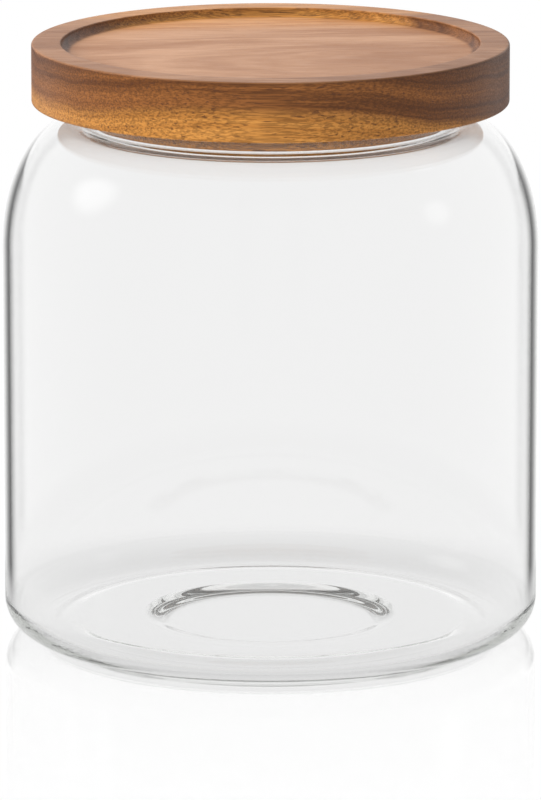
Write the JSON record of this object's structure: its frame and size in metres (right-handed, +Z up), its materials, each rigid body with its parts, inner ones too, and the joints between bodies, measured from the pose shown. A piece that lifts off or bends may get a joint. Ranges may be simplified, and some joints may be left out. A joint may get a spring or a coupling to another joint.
{
  "type": "lidded glass canister",
  "caption": "Clear glass storage canister with rounded shoulder, recessed floor and turned wooden lid with a tray top, plug and silicone seal.",
  "frame": {"origin": "centre of the circle that the jar stands on, at table height", "axes": "+Z up along the axis of the jar and lid, +X along the grain of the lid, -Y towards the front"},
  "size_m": [0.148, 0.148, 0.165],
  "materials": {
    "clear_glass": "clear blown borosilicate glass, fire-polished, very slightly grey-green in depth",
    "silicone": "translucent colourless silicone, satin",
    "acacia_wood": "turned acacia, golden brown with dark brown heartwood streaks and open pores, thin satin oil finish"
  },
  "bodies": {
    "jar": {"glass_jar": "clear_glass"},
    "seal": {"seal_ring": "silicone"},
    "lid": {"wooden_lid": "acacia_wood"}
  },
  "joints": [
    {"name": "lid_lift", "type": "slide", "parent": "jar", "child": "seal", "axis": [0, 0, 1], "range_m": [0, 0.04]},
    {"name": "lid_turn", "type": "hinge", "parent": "seal", "child": "lid", "pos_m": [0, 0, 0.1485], "axis": [0, 0, 1], "continuous": true}
  ]
}
